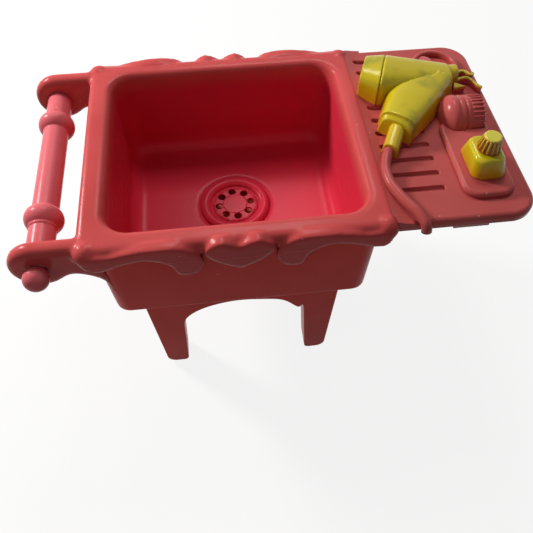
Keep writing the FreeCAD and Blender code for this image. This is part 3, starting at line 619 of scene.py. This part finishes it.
@dataclass
class GrowthTree:
    """A geometry tree with named inputs that is run once and baked."""

    name: str
    inputs: dict[str, float]
    whole: tuple[str, ...] = ()
    sheet: Sheet = field(init=False)
    entry: bpy.types.Node = field(init=False)

    def __post_init__(self) -> None:
        """Make the tree and its inputs."""
        tree = bpy.data.node_groups.new(self.name, "GeometryNodeTree")
        tree.interface.new_socket(name="Path", in_out="INPUT", socket_type="NodeSocketGeometry")
        for key, value in self.inputs.items():
            kind = "NodeSocketInt" if key in self.whole else "NodeSocketFloat"
            tree.interface.new_socket(name=key, in_out="INPUT", socket_type=kind).default_value = value
        tree.interface.new_socket(name="Geometry", in_out="OUTPUT", socket_type="NodeSocketGeometry")
        self.sheet = Sheet(tree)
        self.entry = self.sheet.add("NodeGroupInput")

    def take(self, key: str) -> bpy.types.NodeSocket:
        """The socket of a named input."""
        return self.entry.outputs[key]

    def close(self, shape: bpy.types.NodeSocket, material: bpy.types.Material) -> None:
        """Realize the instances, set the finish and end the tree.

        Args:
            shape: what has been made.
            material: its finish.
        """
        real = self.sheet.add("GeometryNodeRealizeInstances", {0: shape}).outputs[0]
        dressed = self.sheet.add("GeometryNodeSetMaterial", {"Geometry": real, "Material": material}).outputs[0]
        smooth = self.sheet.add("GeometryNodeSetShadeSmooth", {0: dressed}).outputs[0]
        self.sheet.add("NodeGroupOutput", {0: smooth})

    def run(self, name: str, path: Sequence[Sequence[Point]] = ()) -> bpy.types.Object:
        """Run the tree on a carrier and bake the result.

        Args:
            name: name of the piece.
            path: lines of points that the carrier holds, if the tree reads any.

        Returns:
            The piece as a plain mesh.
        """
        mesh = bpy.data.meshes.new(name + "_carrier")
        points = [p for line in path for p in line]
        edges = []
        start = 0
        for line in path:
            edges += [(start + i, start + i + 1) for i in range(len(line) - 1)]
            start += len(line)
        mesh.from_pydata(points, edges, [])
        carrier = bpy.data.objects.new(name + "_carrier", mesh)
        bpy.context.scene.collection.objects.link(carrier)
        grow = carrier.modifiers.new("grow", "NODES")
        grow.node_group = self.sheet.tree
        for item in self.sheet.tree.interface.items_tree:
            if item.in_out == "INPUT" and item.name in self.inputs:
                grow[item.identifier] = self.inputs[item.name]
        return bake(carrier, name)

    def vector(self, x: object = 0.0, y: object = 0.0, z: object = 0.0) -> bpy.types.NodeSocket:
        """Join three numbers or sockets into one vector."""
        return self.sheet.add("ShaderNodeCombineXYZ", {0: x, 1: y, 2: z}).outputs[0]

    def rod(self, start: bpy.types.NodeSocket, end: bpy.types.NodeSocket, radius: object, sides: int,
            steps: int = 2) -> bpy.types.NodeSocket:
        """Closed round rod between two places.

        Args:
            start: one end.
            end: the other end.
            radius: its radius, a value or socket.
            sides: facets round it.
            steps: points along it.

        Returns:
            The rod's mesh.
        """
        sheet = self.sheet
        line = sheet.add("GeometryNodeCurvePrimitiveLine", {"Start": start, "End": end}).outputs[0]
        line = sheet.add("GeometryNodeResampleCurve", {"Curve": line, "Count": steps}).outputs[0]
        share = sheet.add("GeometryNodeSplineParameter").outputs[0]
        from_middle = sheet.maths("ABSOLUTE", sheet.maths("SUBTRACT", sheet.times(share, 2.0), 1.0))
        power = sheet.maths("POWER", from_middle, ROD_END_POWER)
        girth = sheet.maths("SQRT", sheet.maths("SUBTRACT", ROD_END_ROOM, power, clamp=True))
        line = sheet.add("GeometryNodeSetCurveRadius", {"Curve": line, "Radius": girth}).outputs[0]
        ring = sheet.add("GeometryNodeCurvePrimitiveCircle", {"Resolution": sides, "Radius": radius}).outputs[0]
        return sheet.add("GeometryNodeCurveToMesh", {"Curve": line, "Profile Curve": ring, "Scale": girth,
                                                     "Fill Caps": True}).outputs[0]


@dataclass
class Tub:
    """Rim, bowl, drain, apron, arms, ornament and stand."""

    finishes: Finishes
    ornament: tuple[str, ...] = ("heart", "left_boss", "right_boss", "left_scroll", "right_scroll")
    rim_grain: float = 0.8
    rim_rounds: int = 4
    apron_grain: float = 0.8
    apron_rounds: int = 2
    drain_angle: float = 40.0
    middle_x: float = -14.0
    rim_top: float = 97.4
    seam_girth: float = 0.13
    seam_sides: int = 8
    seam_from_y: float = 56.0
    seam_reach: float = 60.0
    scroll_edge: tuple[Span, ...] = (
        (52.6, -7.0), (50.6, -8.5), (47.2, -8.8), (42.4, -7.0), (37.0, -5.3), (31.5, -5.0), (26.4, -7.4),
        (24.0, -10.6), (22.6, -14.0), (19.0, -15.3), (15.6, -14.2), (13.4, -11.0),
    )
    heart_edge: tuple[Span, ...] = (
        (11.5, -4.6), (10.0, -7.2), (5.4, -10.9), (0.0, -13.7), (-5.4, -10.9), (-10.0, -7.2), (-11.5, -4.6),
    )
    step_line: tuple[Span, ...] = (
        (54.0, -6.4), (36.0, -6.6), (18.0, -6.9), (-18.0, -6.9), (-36.0, -6.6), (-54.0, -6.4),
    )

    def build(self) -> None:
        """Make every piece of the tub."""
        nodes = ["basin", "front_arm", "rear_arm"]
        nodes += [end + "_" + word for end in ("front", "rear") for word in self.ornament]
        f = self.finishes
        rim = softened("rim_and_bowl", nodes, f.bowl, self.rim_grain, self.rim_rounds)
        settle(rim, Body.TUB, Slot.PINK, *nodes)
        drain = crisp("drain_plate", ["drain_strainer"], f.bowl, self.drain_angle)
        settle(drain, Body.TUB, Slot.PINK, "drain_strainer")
        apron = softened("apron_shell", ["apron"], f.stand, self.apron_grain, self.apron_rounds)
        settle(apron, Body.TUB, Slot.PINK, "apron")
        for end in ("front", "rear"):
            frame_node = end + "_leg_frame"
            settle(crisp(end + "_legs", [frame_node], f.stand), Body.TUB, Slot.PINK, frame_node)
        self.seams(rim)

    def seams(self, rim: bpy.types.Object) -> None:
        """Thin raised edge that the mould left along the foot of each ornament, in a paler pink that paints a
        highlight along it.

        Args:
            rim: the moulding that the edges lie on.
        """
        tree = GrowthTree("mould_edge", {"Girth": self.seam_girth * MM, "Reach": self.seam_reach * MM})
        sheet = tree.sheet
        rails = sheet.add("GeometryNodeObjectInfo", {"Object": rim}).outputs["Geometry"]
        here = sheet.add("GeometryNodeInputPosition").outputs[0]
        side = sheet.add("ShaderNodeSeparateXYZ", {0: here}).outputs[1]
        inward = tree.vector(0.0, sheet.maths("SUBTRACT", 0.0, sheet.maths("SIGN", side)), 0.0)
        hit = sheet.add("GeometryNodeRaycast", {"Target Geometry": rails, "Source Position": here,
                                                "Ray Direction": inward, "Ray Length": tree.take("Reach")})
        kept = sheet.add("GeometryNodeDeleteGeometry", {"Geometry": tree.take("Path"),
                                                        "Selection": sheet.rest(hit.outputs["Is Hit"])}).outputs[0]
        laid = sheet.add("GeometryNodeSetPosition", {"Geometry": kept,
                                                     "Position": hit.outputs["Hit Position"]}).outputs[0]
        line = sheet.add("GeometryNodeMeshToCurve", {"Mesh": laid}).outputs[0]
        ring = sheet.add("GeometryNodeCurvePrimitiveCircle", {"Resolution": self.seam_sides,
                                                              "Radius": tree.take("Girth")}).outputs[0]
        tube = sheet.add("GeometryNodeCurveToMesh", {"Curve": line, "Profile Curve": ring,
                                                     "Fill Caps": True}).outputs[0]
        tree.close(tube, self.finishes.seam)
        mirrored = tuple((-a, z) for a, z in self.scroll_edge)
        lines = [smooth_line(line) for line in (self.scroll_edge, mirrored, self.heart_edge, self.step_line)]
        for end, sign in (("front", -1.0), ("rear", 1.0)):
            y = sign * self.seam_from_y * MM
            path = [[((self.middle_x - a) * MM, y, (self.rim_top + z) * MM) for a, z in line] for line in lines]
            settle(tree.run(end + "_mould_edges", path), Body.TUB, Slot.PINK)


@dataclass
class TowelBar:
    """Turned bar with a ring and a bead near each end and a ball outside each arm."""

    finishes: Finishes
    axis: Span = (-83.5, 87.2)
    half_length: float = 47.0
    journal_from: float = 40.4
    steps: int = 400
    sides: int = 64
    sizes: tuple[tuple[str, float], ...] = (
        ("Bar", 4.85), ("Journal", 3.0), ("Bead place", 24.7), ("Bead core", 2.4), ("Bead round", 4.7),
        ("Ring place", 29.1), ("Ring core", 4.72), ("Ring round", 0.6),
    )

    def build(self) -> None:
        """Make the bar and its two knobs."""
        material = self.finishes.bar
        settle(self.turned(material), Body.BAR, Slot.BAR, "towel_bar")
        for end in ("front", "rear"):
            settle(crisp(end + "_ball", [end + "_knob"], material), Body.BAR, Slot.BAR, end + "_knob")

    def swelling(self, tree: GrowthTree, along: bpy.types.NodeSocket, word: str) -> bpy.types.NodeSocket:
        """Radius of a round swelling at a distance along the bar.

        Args:
            tree: where the nodes go.
            along: distance from the bar's middle.
            word: which swelling's sizes are read.

        Returns:
            The radius there, or the swelling's core away from it.
        """
        sheet = tree.sheet
        off = sheet.maths("SUBTRACT", along, tree.take(word + " place"))
        size = tree.take(word + " round")
        left = sheet.maths("SUBTRACT", sheet.times(size, size), sheet.times(off, off))
        bulge = sheet.maths("SQRT", sheet.maths("MAXIMUM", left, 0.0))
        return sheet.maths("ADD", tree.take(word + " core"), bulge)

    def turned(self, material: bpy.types.Material) -> bpy.types.Object:
        """Turn the bar from its radius rule.

        Args:
            material: its finish.

        Returns:
            The bar.
        """
        inputs = {key: value * MM for key, value in self.sizes}
        inputs["Half length"] = self.half_length * MM
        inputs["Journal from"] = self.journal_from * MM
        tree = GrowthTree("turned_bar_rule", inputs)
        sheet = tree.sheet
        x, z = self.axis
        near = tree.vector(x * MM, sheet.times(tree.take("Half length"), -1.0), z * MM)
        far = tree.vector(x * MM, tree.take("Half length"), z * MM)
        line = sheet.add("GeometryNodeCurvePrimitiveLine", {"Start": near, "End": far}).outputs[0]
        line = sheet.add("GeometryNodeResampleCurve", {"Curve": line, "Count": self.steps}).outputs[0]
        here = sheet.add("GeometryNodeInputPosition").outputs[0]
        along = sheet.maths("ABSOLUTE", sheet.add("ShaderNodeSeparateXYZ", {0: here}).outputs[1])
        girth = sheet.maths("MAXIMUM", tree.take("Bar"), self.swelling(tree, along, "Bead"))
        girth = sheet.maths("MAXIMUM", girth, self.swelling(tree, along, "Ring"))
        inside = sheet.maths("GREATER_THAN", along, tree.take("Journal from"))
        drop = sheet.times(inside, sheet.maths("SUBTRACT", girth, tree.take("Journal")))
        girth = sheet.maths("SUBTRACT", girth, drop)
        line = sheet.add("GeometryNodeSetCurveRadius", {"Curve": line, "Radius": girth}).outputs[0]
        ring = sheet.add("GeometryNodeCurvePrimitiveCircle", {"Resolution": self.sides, "Radius": 1.0}).outputs[0]
        solid = sheet.add("GeometryNodeCurveToMesh", {"Curve": line, "Profile Curve": ring, "Scale": girth,
                                                      "Fill Caps": True}).outputs[0]
        tree.close(solid, material)
        return tree.run("turned_bar")


@dataclass
class Tray:
    """Side tray with its slots, pad, bottle, jar, dish and ribbon."""

    finishes: Finishes
    jar_rib_count: int = 15
    jar_rib_girth: float = 0.42
    jar_first: float = 8.0
    jar_axis_y: float = 2.4
    jar_sink: float = 0.1
    jar_rib_inset: float = 0.25
    cap_rib_count: int = 15
    cap_rib_girth: float = 0.42
    cap_top_reach: float = 3.0
    cap_foot_reach: float = 4.15
    cap_foot_inset: float = 0.3
    cap_top_inset: float = 0.45

    def build(self) -> None:
        """Make the tray and what is moulded on it."""
        f = self.finishes
        settle(crisp("slotted_tray", ["side_tray"], f.tray), Body.TUB, Slot.PINK, "side_tray")
        settle(softened("raised_pad", ["bottle_pad"], f.tray, 0.4, 4), Body.TUB, Slot.PINK, "bottle_pad")
        settle(softened("bottle", ["bottle_body"], f.bottle, 0.35, 5), Body.TUB, Slot.YELLOW, "bottle_body")
        settle(softened("bottle_top", ["bottle_cap"], f.cap_core, 0.2, 2), Body.TUB, Slot.YELLOW, "bottle_cap")
        settle(self.cap_ribs(), Body.TUB, Slot.YELLOW)
        jar = ["jar_body", "jar_collar", "jar_cap"]
        settle(softened("lying_jar", jar, f.tray, 0.25, 2), Body.TUB, Slot.PINK, *jar)
        settle(self.jar_ribs(), Body.TUB, Slot.PINK)
        settle(softened("dish_rim", ["soap_dish"], f.tray, 0.3, 3), Body.TUB, Slot.PINK, "soap_dish")
        settle(softened("soap_cake", ["soap"], f.soap, 0.25, 4), Body.TUB, Slot.SOAP, "soap")
        for part in ("ribbon_back", "ribbon_front", "ribbon_loop"):
            settle(softened(part + "_fold", [part], f.ribbon, 0.2, 2), Body.TUB, Slot.RIBBON, part)

    def fan(self, tree: GrowthTree) -> tuple[bpy.types.NodeSocket, bpy.types.NodeSocket]:
        """Points that the ribs start from and the turn of each one.

        Args:
            tree: where the nodes go; it has the inputs Count, First and Step.

        Returns:
            The points and the angle of each.
        """
        sheet = tree.sheet
        points = sheet.add("GeometryNodeMeshLine", {"Count": tree.take("Count"),
                                                    "Offset": (0.0, 0.0, 0.0)}).outputs[0]
        index = sheet.add("GeometryNodeInputIndex").outputs[0]
        turn = sheet.maths("ADD", tree.take("First"), sheet.times(index, tree.take("Step")))
        return points, turn

    def jar_ribs(self) -> bpy.types.Object:
        """Grip ribs along the jar's cap.

        Returns:
            The ribs.
        """
        low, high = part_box("jar_cap")
        reach = high.z - low.z - self.jar_sink * MM
        first = math.radians(self.jar_first)
        step = (math.pi - 2.0 * first) / (self.jar_rib_count - 1)
        tree = GrowthTree("jar_cap_ribs", {"Count": self.jar_rib_count, "First": first, "Step": step,
                                           "Reach": reach, "Girth": self.jar_rib_girth * MM}, ("Count",))
        sheet = tree.sheet
        points, turn = self.fan(tree)
        y = sheet.times(sheet.maths("COSINE", turn), tree.take("Reach"))
        z = sheet.times(sheet.maths("SINE", turn), tree.take("Reach"))
        spread = tree.vector(0.0, sheet.maths("ADD", y, self.jar_axis_y * MM), sheet.maths("ADD", z, low.z))
        placed = sheet.add("GeometryNodeSetPosition", {"Geometry": points, "Position": spread}).outputs[0]
        inset = self.jar_rib_inset * MM
        rib = tree.rod(tree.vector(low.x + inset), tree.vector(high.x - inset), tree.take("Girth"), 12, 14)
        grown = sheet.add("GeometryNodeInstanceOnPoints", {"Points": placed, "Instance": rib}).outputs[0]
        tree.close(grown, self.finishes.tray)
        return tree.run("jar_grip_ribs")

    def cap_ribs(self) -> bpy.types.Object:
        """Ribs that flare down round the bottle's cap.

        Returns:
            The ribs.
        """
        low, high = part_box("bottle_cap")
        tree = GrowthTree("bottle_cap_ribs", {"Count": self.cap_rib_count, "First": 0.0,
                                              "Step": 2.0 * math.pi / self.cap_rib_count,
                                              "Top reach": self.cap_top_reach * MM,
                                              "Foot reach": self.cap_foot_reach * MM,
                                              "Girth": self.cap_rib_girth * MM}, ("Count",))
        sheet = tree.sheet
        points, turn = self.fan(tree)
        centre = tree.vector((low.x + high.x) / 2.0, (low.y + high.y) / 2.0, 0.0)
        placed = sheet.add("GeometryNodeSetPosition", {"Geometry": points, "Position": centre}).outputs[0]
        foot = tree.vector(tree.take("Foot reach"), 0.0, low.z + self.cap_foot_inset * MM)
        top = tree.vector(tree.take("Top reach"), 0.0, high.z - self.cap_top_inset * MM)
        rib = tree.rod(foot, top, tree.take("Girth"), 10, 12)
        grown = sheet.add("GeometryNodeInstanceOnPoints", {"Points": placed, "Instance": rib,
                                                           "Rotation": tree.vector(0.0, 0.0, turn)}).outputs[0]
        tree.close(grown, self.finishes.cap_rib)
        return tree.run("cap_grip_ribs")


@dataclass
class Dryer:
    """Hand dryer moulded on the tray, with its cord."""

    finishes: Finishes
    grain: float = 0.3
    rounds: int = 4
    parts: tuple[str, ...] = ("nozzle", "barrel", "plug", "handle", "strain_relief")

    def build(self) -> None:
        """Make the dryer's parts and the cord."""
        f = self.finishes
        for part in self.parts:
            node = "dryer_" + part
            painted = softened("painted_" + part, [node], f.yellow, self.grain, self.rounds)
            settle(painted, Body.TUB, Slot.YELLOW, node)
        settle(crisp("moulded_cord", ["dryer_cord"], f.tray), Body.TUB, Slot.PINK, "dryer_cord")


@dataclass(frozen=True)
class Lamp:
    """One square lamp: its name, place and side in metres, power in watts and tint."""

    name: str
    place: Point
    size: float
    power: float
    colour: Colour

    def hang(self, aim: Point) -> None:
        """Hang the lamp so that it faces a place.

        Args:
            aim: the place, in metres.
        """
        data = bpy.data.lights.new(self.name, "AREA")
        data.size = self.size
        data.energy = self.power
        data.color = self.colour
        lamp = bpy.data.objects.new(self.name, data)
        lamp.location = self.place
        lamp.rotation_euler = (Vector(aim) - Vector(self.place)).to_track_quat("-Z", "Y").to_euler()
        bpy.context.scene.collection.objects.link(lamp)


@dataclass
class Studio:
    """Camera, lamps, floor and sky."""

    eye: Point = (-0.016963, -0.161273, 0.247728)
    right: Point = (0.992919, -0.118507, 0.008241)
    up: Point = (0.093826, 0.824893, 0.557448)
    forward: Point = (0.072859, 0.552728, -0.830171)
    lens: float = 37.857
    sensor: float = 36.0
    shift_x: float = -0.0139
    clip: Span = (0.01, 20.0)
    floor_size: float = 3.0
    floor_bounce: Colour = (0.26, 0.18, 0.17)
    floor_matt: Colour = (0.9, 0.9, 0.9)
    floor_glow: float = 0.86
    sky_tint: Colour = (1.0, 0.94, 0.90)
    sky_level: float = 0.14
    aim: Point = (0.0, 0.0, 0.07)
    lamps: tuple[Lamp, ...] = (
        Lamp("key", (-0.42, 0.28, 0.36), 0.10, 3.2, (1.0, 0.98, 0.95)),
        Lamp("window", (0.04, 0.44, 0.74), 0.24, 2.2, (1.0, 0.98, 0.96)),
        Lamp("fill", (-0.45, -0.55, 0.55), 0.6, 0.4, (1.0, 0.90, 0.86)),
    )

    def camera(self) -> None:
        """Set the camera."""
        data = bpy.data.cameras.new("view")
        data.sensor_width = self.sensor
        data.lens = self.lens
        data.shift_x = self.shift_x
        data.clip_start, data.clip_end = self.clip
        camera = bpy.data.objects.new("view", data)
        turn = Matrix((self.right, self.up, [-v for v in self.forward])).transposed().to_4x4()
        camera.matrix_world = Matrix.Translation(self.eye) @ turn
        bpy.context.scene.collection.objects.link(camera)
        bpy.context.scene.camera = camera

    def seen_share(self, sheet: Sheet) -> bpy.types.NodeSocket:
        """Whether a ray comes from the camera, a gloss or a clear surface.

        Args:
            sheet: where the nodes go.

        Returns:
            A socket that is 1 on such a ray.
        """
        path = sheet.add("ShaderNodeLightPath")
        seen = sheet.maths("ADD", path.outputs["Is Camera Ray"], path.outputs["Is Glossy Ray"])
        return sheet.maths("ADD", seen, path.outputs["Is Transmission Ray"], clamp=True)

    def sky(self) -> None:
        """Soft sky that looks white."""
        world = bpy.data.worlds.new("sky")
        bpy.context.scene.world = world
        world.use_nodes = True
        world.node_tree.nodes.clear()
        sheet = Sheet(world.node_tree)
        seen = self.seen_share(sheet)
        dim = sheet.add("ShaderNodeBackground", {0: (*self.sky_tint, 1.0), 1: self.sky_level})
        bright = sheet.add("ShaderNodeBackground", {0: (1.0, 1.0, 1.0, 1.0), 1: 1.0})
        mixed = sheet.add("ShaderNodeMixShader", {0: seen, 1: dim.outputs[0], 2: bright.outputs[0]})
        sheet.add("ShaderNodeOutputWorld", {0: mixed.outputs[0]})

    def floor(self) -> None:
        """Plain white floor that keeps a faint shadow."""
        mesh = bpy.data.meshes.new("floor")
        half = self.floor_size / 2.0
        low = CAD_BOX[0].z
        corners = [(-half, -half, low), (half, -half, low), (half, half, low), (-half, half, low)]
        mesh.from_pydata(corners, [], [(0, 1, 2, 3)])
        floor = bpy.data.objects.new("floor", mesh)
        bpy.context.scene.collection.objects.link(floor)
        material = bpy.data.materials.new("floor_white")
        material.use_nodes = True
        material.node_tree.nodes.clear()
        sheet = Sheet(material.node_tree)
        dull = sheet.add("ShaderNodeBsdfDiffuse", {0: (*self.floor_bounce, 1.0)})
        matt = sheet.add("ShaderNodeBsdfDiffuse", {0: (*self.floor_matt, 1.0)})
        white = sheet.add("ShaderNodeEmission", {0: (1.0, 1.0, 1.0, 1.0), 1: 1.0})
        shown = sheet.add("ShaderNodeMixShader", {0: self.floor_glow, 1: matt.outputs[0],
                                                  2: white.outputs[0]})
        mixed = sheet.add("ShaderNodeMixShader", {0: self.seen_share(sheet), 1: dull.outputs[0],
                                                  2: shown.outputs[0]})
        sheet.add("ShaderNodeOutputMaterial", {"Surface": mixed.outputs[0]})
        mesh.materials.append(material)

    def build(self) -> None:
        """Set up the whole studio."""
        self.camera()
        self.sky()
        self.floor()
        for lamp in self.lamps:
            lamp.hang(self.aim)


def main() -> None:
    """Build the studio and the tub."""
    logging.basicConfig(level=logging.INFO, format="%(name)s %(message)s")
    bpy.context.scene.view_settings.view_transform = "Standard"
    Studio().build()
    finishes = make_finishes()
    for group in (Tub(finishes), TowelBar(finishes), Tray(finishes), Dryer(finishes)):
        group.build()


if __name__ == "__main__":
    main()
